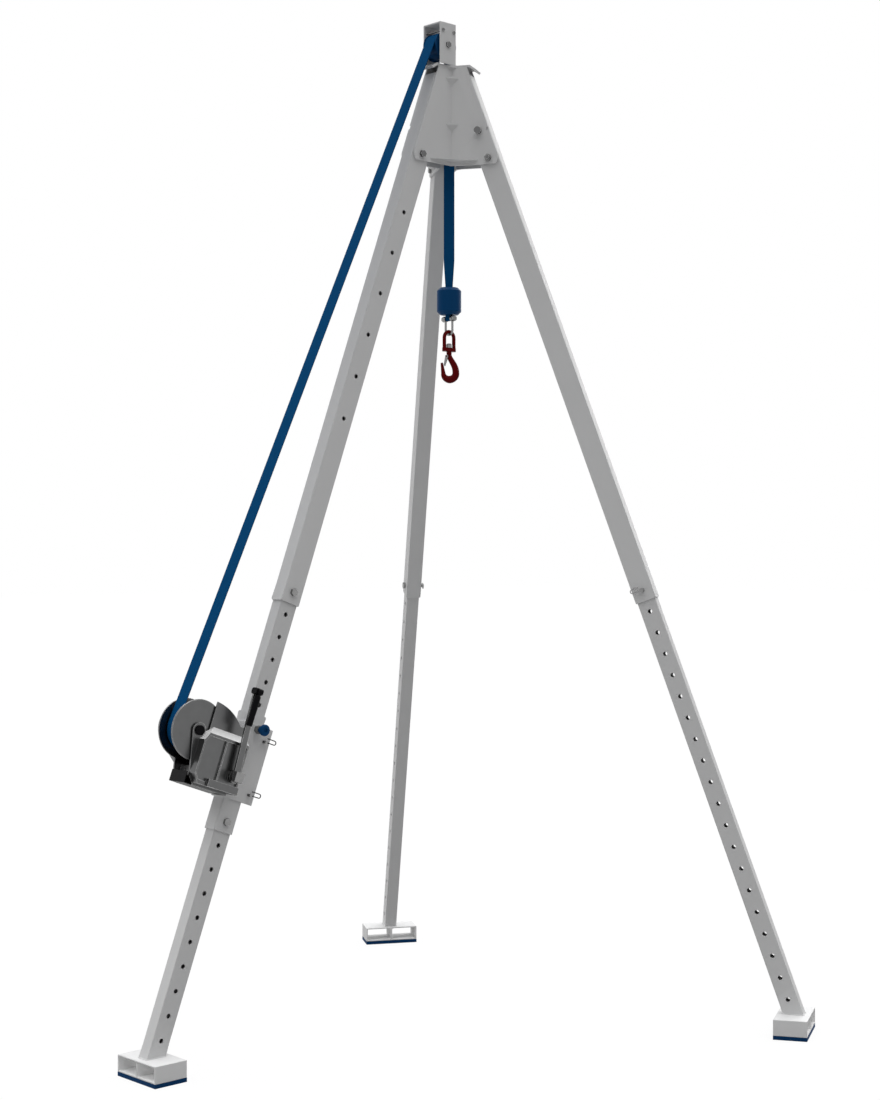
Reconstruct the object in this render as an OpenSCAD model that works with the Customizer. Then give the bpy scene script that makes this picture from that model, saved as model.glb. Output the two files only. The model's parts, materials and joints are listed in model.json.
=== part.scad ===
// Rescue tripod with a webbing hand winch, head pulley and swivel hook.
// Z is up, the floor is Z = 0 and the winch leg points to -Y.

/* [Legs] */
// Lean of each leg from the vertical, in degrees
lean = 20; // [18:0.5:22]
// Length of a leg from the floor to its hinge
leg_l = 3447; // [3100:1:3800]
// Distance of the leg hinges from the middle of the head
hinge_radius = 167; // [160:1:175]
// Radial depth of the outer leg tube
outer_d = 80; // [76:1:84]
// Width of the outer leg tube across the leg
outer_w = 60; // [56:1:64]
// Wall of the leg tubes
tube_wall = 4; // [3:0.5:5]
// Gap between inner and outer tube on each side
tube_gap = 1; // [0.6:0.1:1.5]
// Length of the outer tube below the hinge
outer_drop = 1777; // [1700:1:1850]
// Length of the inner tube that is inside the outer tube
tube_overlap = 530; // [380:1:730]
// Locking pin above the lower end of the outer tube
pin_up = 41; // [36:1:50]
// Pitch of the adjusting holes
hole_pitch = 83; // [80:1:86]
// Adjusting holes above the locking pin
holes_above = 2; // [2:1:4]
// First accessory hole of the winch leg above the lower end of its outer tube
accessory_up = 704; // [680:1:720]
// Number of accessory holes in the winch leg
accessory_holes = 6; // [2:1:6]

/* [Pins] */
// Diameter of the hinge bolts and locking pins
pin_d = 16; // [12:0.5:18]
// Width across flats of the bolt heads and nuts
hex_af = 24; // [22:1:26]
// Thickness of the bolt heads
hex_h = 10; // [7:0.5:12]
// Wire diameter of the spring clips
wire_d = 3.5; // [2.5:0.1:4]

/* [Feet] */
// Width of a foot across the leg
foot_w = 225; // [190:1:240]
// Length of a foot along the leg's plane
foot_l = 123; // [110:1:140]
// Height of the foot profile
foot_h = 58; // [50:1:70]
// Wall of the foot profile
foot_wall = 5; // [4:0.5:8]
// Thickness of the rubber sole
sole_t = 14; // [8:1:18]

/* [Head] */
// Distance from the hinge bolt to the leg lock
lock_reach = 109.5; // [100:0.5:115]
// Thickness of the cheek plates
cheek_t = 6; // [5:0.5:8]
// Gap between a leg and a cheek plate
cheek_gap = 1; // [0.5:0.1:1.5]
// Lower edge of the cheek plates below the hinge bolts
cheek_drop = 24; // [20:1:30]
// Height of the cheek plates
cheek_h = 371; // [360:1:390]
// Room between the top of a leg and the top plate
leg_end_gap = 26; // [26:1:60]
// Thickness of the top plate
top_t = 8; // [6:0.5:10]
// Length of the lips bent down over the legs
lip_l = 26; // [20:1:28]

/* [Pulley] */
// Radius of the pulley to the middle of the strap
pulley_r = 48; // [44:0.5:52]
// Height of the pulley axle over the cheek plates
pulley_up = 82; // [78:1:95]
// Outer width of the pulley bracket
bracket_w = 98; // [92:1:106]
// Depth of the pulley bracket
bracket_d = 80; // [74:1:90]
// Top of the pulley bracket above the pulley axle
bracket_up = 83; // [78:1:95]

/* [Strap] */
// Width of the lifting strap
strap_w = 60; // [50:1:60]
// Thickness of the lifting strap
strap_t = 2.6; // [2:0.1:2.8]
// Radius of the wound strap to the middle of its last turn
roll_r = 75; // [70:0.5:80]
// Turns in the wound outer layer
roll_turns = 4; // [2:1:4]
// Gap between the turns
roll_gap = 0.6; // [0.5:0.05:0.9]

/* [Hook] */
// Length of strap from the pulley axle down to the strap stop
drop_l = 911; // [500:1:1400]
// Diameter of the strap stop
stop_d = 93; // [80:1:100]
// Height of the strap stop
stop_h = 103; // [95:1:110]
// Bar diameter of the shackle
shackle_d = 9; // [8:0.5:10]
// Turn of the hook about the strap, in degrees
hook_turn = 45; // [0:5:90]

/* [Winch] */
// Adjusting hole that the winch is pinned in, counted down from the locking pin
winch_hole = 10; // [8:1:11]
// Length of the winch sleeve
sleeve_l = 419; // [400:1:430]
// Drum axle, out from the leg's axis
drum_n = 225; // [220:1:240]
// Drum axle above the pin of the sleeve
drum_up = 262; // [255:1:270]
// Radius of the drum flanges
flange_r = 104; // [98:1:108]
// Length of the crank arm between shaft and grip
crank_l = 297; // [260:1:310]
// Module of the gear teeth
gear_m = 3; // [2.8:0.05:3.1]

/* [Hidden] */
$fn = 48;

legs = [0, 1, 2];
third = 360 / len(legs);
// Clearances: plain hole, running fit and fixed fit
fit = 0.3;
run_fit = 0.05;
slip = 0.02;
sn = sin(lean);
cs = cos(lean);
foot_radius = hinge_radius + leg_l * sn;
inner_d = outer_d - 2 * (tube_wall + tube_gap);
inner_w = outer_w - 2 * (tube_wall + tube_gap);
bore_r = pin_d / 2 + fit;
foot_top = foot_h + sole_t;
hinge_z = leg_l * cs;
cheek_z0 = hinge_z - cheek_drop;
cheek_z1 = cheek_z0 + cheek_h;
outer_start = leg_l - outer_drop;
outer_end = (cheek_z1 - leg_end_gap - outer_d / 2 * sn) / cs;
inner_end = outer_start + tube_overlap;
pin_s = outer_start + pin_up;
accessory_s = outer_start + accessory_up;
hole_end = 50;
holes_below = floor((pin_s - foot_top / cs - hole_end) / hole_pitch);

// Radius and height of a point given by its distance along the leg and out from the leg's axis
function leg_r(s, n) = foot_radius - s * sn + n * cs;
function leg_z(s, n) = s * cs + n * sn;
// The same point in the winch leg's own vertical plane, as [Y, Z]
function leg_yz(s, n) = [-leg_r(s, n), leg_z(s, n)];
function unit2(v) = v / norm(v);
function turn2(p, a) = [p[0] * cos(a) - p[1] * sin(a), p[0] * sin(a) + p[1] * cos(a)];
function polar(r, a) = [r * cos(a), r * sin(a)];

// Places children on a leg: X across the leg, Y inwards, Z along it
module on_leg(k, s = 0) {
    rotate([0, 0, third * k]) translate([0, -foot_radius, 0]) rotate([-lean, 0, 0])
        translate([0, 0, s]) children();
}
// Extrudes a shape drawn in Y and Z along X
module plate_x(x0, t) {
    translate([x0, 0, 0]) rotate([90, 0, 90]) linear_extrude(t) children();
}
// Round bar along X between two places
module bar_x(x0, x1, r) {
    translate([x0, 0, 0]) rotate([0, 90, 0]) cylinder(h = x1 - x0, r = r);
}
// Hexagonal bar along X between two places
module hex_x(x0, x1, af) {
    translate([x0, 0, 0]) rotate([0, 90, 0]) cylinder(h = x1 - x0, r = af / 2 / cos(30), $fn = 6);
}
// Flat outline round two circles of different size
module tapered_bar(p, rp, q, rq) {
    v = q - p;
    b = asin((rp - rq) / norm(v));
    a = atan2(v[1], v[0]);
    translate(p) circle(rp);
    translate(q) circle(rq);
    polygon([p + polar(rp, a + 90 - b), p + polar(rp, a - 90 + b),
        q + polar(rq, a - 90 + b), q + polar(rq, a + 90 - b)]);
}

// Leg tubes
module tube_outline(d, w, wall) {
    difference() {
        square([w, d], center = true);
        square([w - 2 * wall, d - 2 * wall], center = true);
    }
}
strap_room = 5;
axis_keep = strap_w / 2 * cos(30) + strap_room;
accessory_row = [for (i = [0:accessory_holes - 1]) accessory_s + 2 * i * hole_pitch];
module outer_tube(k) {
    color("gainsboro") difference() {
        on_leg(k) union() {
            translate([0, 0, outer_start]) linear_extrude(outer_end - outer_start)
                tube_outline(outer_d, outer_w, tube_wall);
            translate([0, 0, outer_end - tube_wall]) linear_extrude(tube_wall)
                square([outer_w, outer_d], center = true);
            translate([0, 0, leg_l])
                bar_x(-outer_w / 2 + tube_wall / 2, outer_w / 2 - tube_wall / 2, pin_d);
        }
        on_leg(k, leg_l) bar_x(-outer_w, outer_w, pin_d / 2 + run_fit);
        on_leg(k) for (s = concat([pin_s], k == 0 ? accessory_row : []))
            translate([0, 0, s]) bar_x(-outer_w, outer_w, bore_r);
        rotate([0, 0, third * k]) translate([-outer_w, -axis_keep, cheek_z0])
            cube([2 * outer_w, 2 * axis_keep, cheek_h]);
    }
}
module inner_tube(k) {
    color("gainsboro") difference() {
        on_leg(k) linear_extrude(inner_end) tube_outline(inner_d, inner_w, tube_wall);
        rotate([0, 0, third * k]) translate([-outer_w, -foot_radius - outer_d, -outer_d])
            cube([2 * outer_w, 2 * outer_d, outer_d + foot_top]);
        on_leg(k) for (i = [-holes_above:holes_below])
            translate([0, 0, pin_s - i * hole_pitch]) bar_x(-outer_w, outer_w, bore_r);
    }
}

// Feet
foot_r = leg_r(foot_top / cs, 0);
module foot(k) {
    cell_w = (foot_w - 3 * foot_wall) / 2;
    cell_h = foot_h - 2 * foot_wall;
    color("whitesmoke") rotate([0, 0, third * k]) translate([0, -foot_r, sole_t]) difference() {
        translate([-foot_w / 2, -foot_l / 2, 0]) cube([foot_w, foot_l, foot_h]);
        for (side = [-1, 1]) translate([side * (cell_w + foot_wall) / 2 - cell_w / 2, -foot_l, foot_wall])
            cube([cell_w, 2 * foot_l, cell_h]);
    }
}
module sole(k) {
    color("midnightblue") rotate([0, 0, third * k])
        translate([-foot_w / 2, -foot_r - foot_l / 2, 0]) cube([foot_w, foot_l, sole_t]);
}

// Pins and spring clips
tip_l = 18;
clip_x = tip_l / 2;
clip_bend_r = 7;
clip_leg = 46;
// Headed pin along X through a width, with a cross hole near its tip
module headed_pin(w, d, af) {
    color("dimgray") difference() {
        union() {
            hex_x(w / 2 + fit, w / 2 + fit + hex_h, af);
            bar_x(-w / 2 - tip_l, w / 2 + fit + hex_h / 2, d / 2);
        }
        translate([-w / 2 - clip_x, 0, 0]) rotate([90, 0, 0])
            cylinder(h = 2 * d, r = wire_d / 2 + run_fit, center = true);
    }
}
// Spring clip round a pin: one leg through the pin, the other sprung over it
module spring_clip(d) {
    wave_r = d / 2 + fit + wire_d / 2;
    wire = wire_d / 2;
    color("slategray") {
        rotate([90, 0, 0]) translate([0, 0, -clip_leg + wave_r]) cylinder(h = clip_leg, r = wire);
        translate([0, clip_leg - wave_r, clip_bend_r])
            rotate([0, 0, 90]) rotate([90, 0, 0]) rotate([0, 0, -90])
            rotate_extrude(angle = 180) translate([clip_bend_r, 0]) circle(wire, $fn = 16);
        translate([0, wave_r, 2 * clip_bend_r]) rotate([-90, 0, 0])
            cylinder(h = clip_leg - 2 * wave_r, r = wire);
    }
}
module leg_pin(k) on_leg(k, pin_s) {
    headed_pin(outer_w, pin_d, hex_af);
    translate([-outer_w / 2 - clip_x, 0, 0]) spring_clip(pin_d);
}

// Head
cheek_in = outer_w / 2 + cheek_gap;
cheek_out = cheek_in + cheek_t;
valley = tan(30);
edge_n = outer_d / 2 - 1;
lock_s = leg_l + lock_reach;
lock_d = pin_d;
ear_r = edge_n;
module cheek_outline(locked) {
    hinge = leg_yz(leg_l, 0);
    z_run = (cheek_z1 - edge_n * sn) / cs;
    difference() {
        union() {
            polygon([[-cheek_in * valley, cheek_z1], leg_yz(z_run, edge_n), leg_yz(leg_l, edge_n), hinge,
                [hinge[0], cheek_z0], [-cheek_in * valley, cheek_z0]]);
            intersection() {
                translate(hinge) circle(ear_r);
                translate([hinge[0] - 2 * ear_r, cheek_z0]) square([4 * ear_r, 4 * ear_r]);
            }
        }
        translate(hinge) circle(bore_r);
        if (locked) {
            translate(leg_yz(lock_s, 0)) circle(lock_d / 2 + fit);
            translate(leg_yz(leg_l + lock_reach * cs, lock_reach * sn)) circle(lock_d / 2 + fit);
        }
    }
}
module cheek(k) {
    rotate([0, 0, third * k]) {
        plate_x(cheek_in, cheek_t) cheek_outline(false);
        rotate([0, 0, third]) plate_x(-cheek_out, cheek_t) cheek_outline(true);
        translate([0, 0, cheek_z0]) linear_extrude(cheek_h) polygon([
            polar(cheek_in / cos(30), -30), [cheek_out, -cheek_in * valley],
            polar(cheek_out / cos(30), -30), turn2([-cheek_out, -cheek_in * valley], third)]);
    }
}
module cheek_plates() color("silver") for (k = legs) cheek(k);
lip_room = 1;
lip_bend = 35;
plate_r = leg_r(outer_end, outer_d / 2) + lip_room;
slot_h = 18;
slot_room = 4;
hub_rim = 14;
hub_r = cheek_out / sin(60) + hub_rim;
module top_plate() {
    top_z = cheek_z1 + top_t;
    lip = [-plate_r, top_z] - lip_l * polar(1, lip_bend);
    color("gainsboro") difference() {
        union() {
            translate([0, 0, cheek_z1]) cylinder(h = top_t, r = hub_r);
            for (k = legs) rotate([0, 0, third * k]) plate_x(-cheek_out, 2 * cheek_out) polygon([
                [-cheek_out, top_z], [-plate_r, top_z], lip, lip + top_t * polar(1, lip_bend - 90),
                [-plate_r + top_t * tan(lip_bend / 2), cheek_z1], [-cheek_out, cheek_z1]]);
        }
        translate([-strap_w / 2 - slot_room, -slot_h / 2, cheek_z0])
            cube([strap_w + 2 * slot_room, slot_h, 2 * cheek_h]);
    }
}
small_gusset = 30;
small_drop = 32;
large_gusset = 108;
gusset_t = 6;
upper_gusset = 0.9;
middle_gusset = 0.43;
lower_gusset = 14;
gusset_corner = cheek_out / cos(30);
// Flat outline between two cheek plates, of a given length along each
module gusset_outline(l) {
    corner = polar(gusset_corner, -30);
    polygon([corner, [cheek_out, corner[1] - l], turn2([-cheek_out, corner[1] - l], third)]);
}
// Corner bracket: level on top and falling away to the valley below
module small_wedge(z) intersection() {
    translate([0, 0, z - small_drop]) linear_extrude(small_drop) gusset_outline(small_gusset);
    rotate([0, 0, -30]) rotate([90, 0, 0]) translate([0, 0, -small_gusset])
        linear_extrude(2 * small_gusset)
        polygon([
            [0, z], [gusset_corner + small_gusset, z], [gusset_corner + small_gusset / 2, z - gusset_t],
            [gusset_corner, z - small_drop], [0, z - small_drop]
        ]);
}
module head_gussets() color("lightgray") for (k = legs)
    rotate([0, 0, third * k]) translate([0, 0, cheek_z0]) {
        small_wedge(upper_gusset * cheek_h);
        small_wedge(middle_gusset * cheek_h);
        translate([0, 0, lower_gusset]) linear_extrude(gusset_t) gusset_outline(large_gusset);
    }
hinge_x = cheek_out + fit;
hinge_tip = 4;
module hinge_bolts() color("dimgray") for (k = legs) on_leg(k, leg_l) {
    hex_x(hinge_x, hinge_x + hex_h, hex_af);
    bar_x(-hinge_x - hex_h - hinge_tip, hinge_x + hex_h / 2, pin_d / 2);
}
module hinge_nuts() color("dimgray") for (k = legs) on_leg(k, leg_l) difference() {
    hex_x(-hinge_x - hex_h, -hinge_x, hex_af);
    bar_x(-2 * hinge_x, 0, pin_d / 2 + slip);
}
guide_l = 10;
guide_wall = 4;
lock_head = 8;
lock_rim = 6;
lock_x = -cheek_out - guide_l - fit;
module lock_guides() color("gray") for (k = legs) on_leg(k, lock_s) difference() {
    bar_x(-cheek_out - guide_l, -cheek_out, lock_d / 2 + guide_wall);
    bar_x(-2 * cheek_out, 0, lock_d / 2 + run_fit);
}
module leg_lock(k) color("dimgray") on_leg(k, lock_s) {
    bar_x(lock_x - lock_head / 2, -cheek_in - fit, lock_d / 2);
    bar_x(lock_x - lock_head, lock_x, lock_d / 2 + lock_rim);
}

// Pulley
bracket_t = 6;
pulley_z = cheek_z1 + pulley_up;
pulley_c = [-pulley_r, pulley_z];
axle_r = 10;
axle_head = 6;
axle_af = 22;
rim_r = pulley_r - strap_t / 2 - fit;
pulley_lip_h = 5;
pulley_lip = 3;
pulley_flange_r = rim_r + pulley_lip_h;
pulley_half = strap_w / 2 + 6 - fit;
bracket_half = bracket_w / 2;
bracket_z0 = cheek_z1 + top_t;
bracket_z1 = pulley_z + bracket_up;
guard_r = 4;
guard_room = 2;
guard_out = pulley_flange_r + guard_r + guard_room;
guards = [for (a = [60, 116]) pulley_c + polar(guard_out, a)];
module at_yz(p) translate([0, p[0], p[1]]) children();
module pulley_bracket() {
    color("gainsboro") difference() {
        union() {
            for (x = [-bracket_half, bracket_half - bracket_t]) plate_x(x, bracket_t)
                translate([pulley_c[0] - bracket_d / 2, bracket_z0])
                    square([bracket_d, bracket_z1 - bracket_z0]);
            translate([-bracket_half, pulley_c[0] - bracket_d / 2, bracket_z1 - bracket_t])
                cube([bracket_w, bracket_d, bracket_t]);
        }
        at_yz(pulley_c) bar_x(-bracket_w, bracket_w, axle_r + slip);
        for (p = guards) at_yz(p) bar_x(-bracket_w, bracket_w, guard_r + slip);
    }
}
module strap_guards() color("dimgray") for (p = guards) at_yz(p) {
    bar_x(-bracket_half, bracket_half, guard_r);
    for (x = [-bracket_half - guard_r, bracket_half]) hex_x(x, x + guard_r, 3 * guard_r);
}
module pulley_axle() color("dimgray") at_yz(pulley_c) {
    bar_x(-bracket_half, bracket_half, axle_r);
    for (x = [-bracket_half - axle_head, bracket_half]) hex_x(x, x + axle_head, axle_af);
}
module pulley() {
    bore = axle_r + run_fit;
    inner = pulley_half - pulley_lip;
    color("black") at_yz(pulley_c) rotate([0, 90, 0]) rotate_extrude() polygon([
        [bore, -pulley_half], [pulley_flange_r, -pulley_half], [pulley_flange_r, -inner], [rim_r, 1 - inner],
        [rim_r, inner - 1], [pulley_flange_r, inner], [pulley_flange_r, pulley_half], [bore, pulley_half]]);
}

// Strap: over the pulley, down to the drum and down to the hook
sleeve_foot = 36;
sleeve_pin_s = pin_s - winch_hole * hole_pitch;
sleeve_s0 = sleeve_pin_s - sleeve_foot;
drum_s = sleeve_pin_s + drum_up;
drum_c = leg_yz(drum_s, drum_n);
run_v = drum_c - pulley_c;
run_e = unit2(run_v);
run_side = [run_e[1], -run_e[0]];
run_sin = (pulley_r - roll_r) / norm(run_v);
run_m = run_side * sqrt(1 - run_sin * run_sin) + run_e * run_sin;
run_a = atan2(run_m[1], run_m[0]);
run_top = pulley_c + pulley_r * run_m;
run_end = drum_c + roll_r * run_m;
run_dir = unit2(run_end - run_top);
seam = run_top + run_dir * norm(run_end - run_top) / 2;
arc_steps = 20;
half_t = strap_t / 2;
module strap_solid() color("midnightblue") plate_x(-strap_w / 2, strap_w) children();
module strap_upper() strap_solid() polygon(concat(
    [for (i = [0:arc_steps]) pulley_c + polar(pulley_r + half_t, run_a * i / arc_steps)],
    [seam + half_t * run_m, seam - half_t * run_m],
    [for (i = [arc_steps:-1:0]) pulley_c + polar(pulley_r - half_t, run_a * i / arc_steps)]));
module strap_lower() {
    last = run_end - run_dir * fit;
    strap_solid() polygon([seam + half_t * run_m, last + half_t * run_m,
        last - half_t * run_m, seam - half_t * run_m]);
}
stop_z = pulley_z - drop_l;
drop_end_w = 40;
drop_taper = 100;
module strap_drop() color("midnightblue") translate([0, half_t, 0]) rotate([90, 0, 0]) linear_extrude(strap_t)
    polygon([[-strap_w / 2, pulley_z], [-strap_w / 2, stop_z + drop_taper], [-drop_end_w / 2, stop_z],
        [drop_end_w / 2, stop_z], [strap_w / 2, stop_z + drop_taper], [strap_w / 2, pulley_z]]);

// Wound strap: a spiral outer layer over a plain core
roll_pitch = strap_t + roll_gap;
loop_steps = 24;
roll_n = roll_turns * loop_steps;
drum_a = run_a + lean;
core_r = 40;
roll_core_r = roll_r - roll_turns * roll_pitch - half_t;
function roll_mid(i) = roll_r - roll_pitch * i / loop_steps;
function roll_pt(i, off) = polar(roll_mid(i) + off, drum_a + 360 * i / loop_steps);
roll_gaps = [for (i = [0:roll_n - loop_steps]) norm(roll_pt(i, -half_t) - roll_pt(i + loop_steps, half_t))];
echo(least_gap_between_turns = min(roll_gaps));
drum_room = 6;
drum_half = strap_w / 2 + drum_room;
flange_t = 6;
module strap_roll() color("midnightblue") at_side(drum_y) plate_x(-strap_w / 2, strap_w) {
    difference() {
        circle(roll_core_r);
        circle(core_r + fit);
    }
    polygon(concat([for (i = [0:roll_n]) roll_pt(i, half_t)], [for (i = [roll_n:-1:0]) roll_pt(i, -half_t)]));
}

// Winch, carried on the inner tube of the winch leg
plate_t = 6;
web_n0 = outer_d / 2 + fit;
web_n1 = web_n0 + plate_t;
flank_x0 = outer_w / 2 + fit;
flank_x1 = flank_x0 + plate_t;
console_s0 = drum_s - 185;
console_l = 270;
console_back = 79;
console_pin_n = -outer_d / 2 - 12;
console_pin_d = 10;
console_pin_af = 17;
console_pin_up = [32, 222];
console_pin_s = [for (up = console_pin_up) console_s0 + up];
knob_n = -12;
knob_up = 255;
knob_s = console_s0 + knob_up;
knob_r = 8;
bolt_d = 10;
bolt_af = 17;
bolt_head = 7;
bolt_x = [-22, 22];
bolt_up = [42, 212];
bolt_s = [for (up = bolt_up) console_s0 + up];
// Places children beside the leg: out from its axis and along it
module winch_at(n, s) on_leg(0) translate([0, -n, s]) children();
module at_side(p) on_leg(0) translate([0, p[0], p[1]]) children();
module bolt_holes(depth) for (x = bolt_x, s = bolt_s) translate([x, 0, s]) rotate([90, 0, 0])
    cylinder(h = depth, r = bolt_d / 2 + slip);
module winch_sleeve() color("gainsboro") on_leg(0) difference() {
    translate([0, 0, sleeve_s0]) linear_extrude(sleeve_l) tube_outline(outer_d, outer_w, tube_wall);
    translate([0, 0, sleeve_pin_s]) bar_x(-outer_w, outer_w, bore_r);
}
module console() color("whitesmoke") on_leg(0) difference() {
    union() {
        translate([-flank_x1, -web_n1, console_s0]) cube([2 * flank_x1, plate_t, console_l]);
        for (x = [-flank_x1, flank_x0]) translate([x, -web_n1, console_s0])
            cube([plate_t, web_n1 + console_back, console_l]);
    }
    for (s = console_pin_s) translate([0, -console_pin_n, s])
        bar_x(-outer_w, outer_w, console_pin_d / 2 + fit);
    translate([0, -knob_n, knob_s]) bar_x(0, outer_w, knob_r + fit);
    bolt_holes(2 * web_n1);
}
module winch_pins() {
    winch_at(0, sleeve_pin_s) headed_pin(outer_w, pin_d, hex_af);
    for (s = console_pin_s) winch_at(console_pin_n, s) mirror([1, 0, 0])
        headed_pin(2 * flank_x1, console_pin_d, console_pin_af);
}
module winch_clips() {
    winch_at(0, sleeve_pin_s) translate([-outer_w / 2 - clip_x, 0, 0]) spring_clip(pin_d);
    for (s = console_pin_s) winch_at(console_pin_n, s)
        translate([flank_x1 + clip_x, 0, 0]) spring_clip(console_pin_d);
}
guide_x = 22;
guide_af = 26;
knob_l = 26;
knob_head_r = 20;
knob_neck_r = 12;
knob_x0 = flank_x1 + guide_x + fit;
knob_pull = 10;
module plunger_guide() color("gainsboro") winch_at(knob_n, knob_s) difference() {
    hex_x(flank_x1, flank_x1 + guide_x, guide_af);
    bar_x(0, 2 * flank_x1, knob_r + run_fit);
}
module plunger_knob() color("royalblue") winch_at(knob_n, knob_s) {
    dish = knob_l - 4;
    bar_x(flank_x0 + fit, knob_x0 + 1, knob_r);
    translate([knob_x0, 0, 0]) rotate([0, 90, 0]) rotate_extrude() polygon([[0, 0], [knob_neck_r, 0],
        [knob_neck_r + 1, 8], [knob_head_r, knob_l - 9], [knob_head_r, knob_l - 3], [knob_head_r - 3, knob_l],
        [knob_r, knob_l], [knob_r - 1, dish], [0, dish]]);
}

// Winch frame: a base plate on the console with two side plates, placed from the drum axle
side_room = 2;
side_x0 = drum_half + flange_t + side_room;
side_t = 6;
side_x1 = side_x0 + side_t;
base_n0 = web_n1;
base_n1 = base_n0 + plate_t;
base_s0 = console_s0 + 4;
base_l = 240;
drum_axle_r = 12;
shaft_r = 8;
drum_y = [-drum_n, drum_s];
// Point of the winch given by its distance out from the drum axle and up from it
function by_drum(out, up) = drum_y + [-out, up];
crank_teeth = 14;
wheel_teeth = 42;
cross_teeth = 32;
drum_teeth = 48;
stage1 = gear_m * (crank_teeth + wheel_teeth) / 2;
stage2 = gear_m * (cross_teeth + drum_teeth) / 2;
stage1_turn = -18.6;
stage2_turn = -47.3;
cross_y = drum_y + polar(stage2, stage2_turn);
crank_y = cross_y + polar(stage1, stage1_turn);
gear_room = 4;
gear_x0 = side_x1 + gear_room;
gear_w = 18;
case_wall = 3;
case_room = 1.5;
case_x1 = gear_x0 + gear_w + case_room + case_wall;
hump_c = by_drum(-27, -76);
hump_r = 188;
hump_in = 39;
hump_edge = drum_n - hump_in;
gear_hub_r = drum_axle_r + 6;
module side_outline(axle_hole) {
    difference() {
        union() {
            polygon([[-base_n0, base_s0], [-base_n0, base_s0 + base_l], [-base_n1, base_s0 + base_l],
                by_drum(-85, 53), by_drum(-29, -53), by_drum(-13, -157), by_drum(-35, -181)]);
            intersection() {
                translate(hump_c) circle(hump_r);
                translate([-hump_edge, base_s0]) square([hump_edge - base_n0, 2 * base_l]);
            }
            tapered_bar(drum_y, 26, by_drum(-49, -133), 40);
        }
        translate(drum_y) circle(axle_hole);
        translate(cross_y) circle(shaft_r + run_fit);
    }
}
tie_in = 35;
tie_down = 150;
tie_n = drum_n - tie_in;
tie_s = drum_s - tie_down;
tie_t = 10;
tie_h = 34;
tie_pad = 18;
tie_pad_t = 3;
tie_x = [-25, 20];
tray_n1 = drum_n - 3;
module winch_frame() color("dimgray") on_leg(0) difference() {
    union() {
        translate([-side_x1, -base_n1, base_s0]) cube([2 * side_x1, plate_t, base_l]);
        plate_x(side_x0, side_t) side_outline(drum_axle_r + slip);
        plate_x(-side_x1, side_t) side_outline(gear_hub_r + fit);
        translate([-side_x1, -tie_n, tie_s]) cube([2 * side_x1, tie_t, tie_h]);
        for (x = tie_x) translate([x - tie_pad / 2, -tie_n - tie_pad_t, tie_s + (tie_h - tie_pad) / 2])
            cube([tie_pad, 2 * tie_pad_t, tie_pad]);
    }
    bolt_holes(2 * base_n1);
}
tray_t = 3;
tray_lip = 40;
module drum_tray() color("dimgray") on_leg(0) {
    translate([-side_x0, -tray_n1, base_s0]) cube([2 * side_x0, tray_n1 - base_n1, tray_t]);
    translate([-side_x0, -tray_n1, base_s0]) cube([2 * side_x0, tray_t, tray_lip]);
}
module winch_bolts() color("gray") for (x = bolt_x, s = bolt_s) winch_at(base_n1, s) translate([x, 0, 0])
    rotate([90, 0, 0]) {
        cylinder(h = bolt_head, r = bolt_af / 2 / cos(30), $fn = 6);
        translate([0, 0, -2 * plate_t + fit]) cylinder(h = 2 * plate_t, r = bolt_d / 2);
    }
cover_room = 2 * gear_m;
module cover_outline(room) tapered_bar(drum_y, gear_m * drum_teeth / 2 + room,
    cross_y, gear_m * cross_teeth / 2 + room);
// Right gear case: a housing with a sloped roof, two sunk panels and a foot under the crank shaft
case_n0 = -crank_y[0] - 30;
case_s0 = base_s0 + 8;
case_rib = 6;
case_face = 7;
case_mid = (case_n0 + drum_n - 9) / 2;
panel_s0 = case_s0 + 14;
panel_top = 9;
case_foot_in = 64;
case_foot_n1 = drum_n - case_foot_in;
case_foot_x = 17;
case_foot_h = 26;
roof_up = 26;
roof_lean = 37;
roof_l = 60;
module case_outline() {
    polygon([[-case_n0, case_s0], [-case_n0, drum_s + roof_up], by_drum(-52, roof_up), by_drum(-25, 3),
        by_drum(-9, -26), by_drum(-9, -143), by_drum(-29, -173)]);
}
module case_panels() {
    polygon([[-case_n0 - case_rib, panel_s0], [-case_n0 - case_rib, drum_s - panel_top],
        [-case_mid + case_rib / 2, drum_s - panel_top], [-case_mid + case_rib / 2, panel_s0]]);
    polygon([[-case_mid - case_rib / 2, panel_s0], [-case_mid - case_rib / 2, drum_s - panel_top],
        by_drum(-26, -panel_top), by_drum(-15, -31), by_drum(-15, -143), by_drum(-26, -159)]);
}
module case_hollow() {
    translate(crank_y) circle(gear_m * (crank_teeth / 2 + 2));
    translate(cross_y) circle(gear_m * (wheel_teeth / 2 + 1.5));
}
// What lies over the case's roof, which slopes down and outwards from the side plate
module over_roof() {
    eave = [side_x1, drum_s + roof_up];
    translate([0, 1 - case_n0, 0]) rotate([90, 0, 0]) linear_extrude(drum_n)
        polygon([eave, eave + polar(roof_l, -roof_lean), eave + [roof_l, roof_up], eave + [0, roof_up]]);
}
module gear_case() color("gray") on_leg(0) difference() {
    union() {
        plate_x(side_x1, case_x1 - side_x1) case_outline();
        plate_x(case_x1, case_face) difference() {
            case_outline();
            case_panels();
        }
        plate_x(case_x1, case_foot_x) translate([-case_foot_n1, case_s0])
            square([case_foot_n1 - case_n0, case_foot_h]);
    }
    over_roof();
    plate_x(side_x1 - 1, gear_x0 + gear_w + case_room - side_x1 + 1) case_hollow();
    translate([0, crank_y[0], crank_y[1]]) bar_x(side_x1, 2 * case_x1, shaft_r + run_fit);
}
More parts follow.
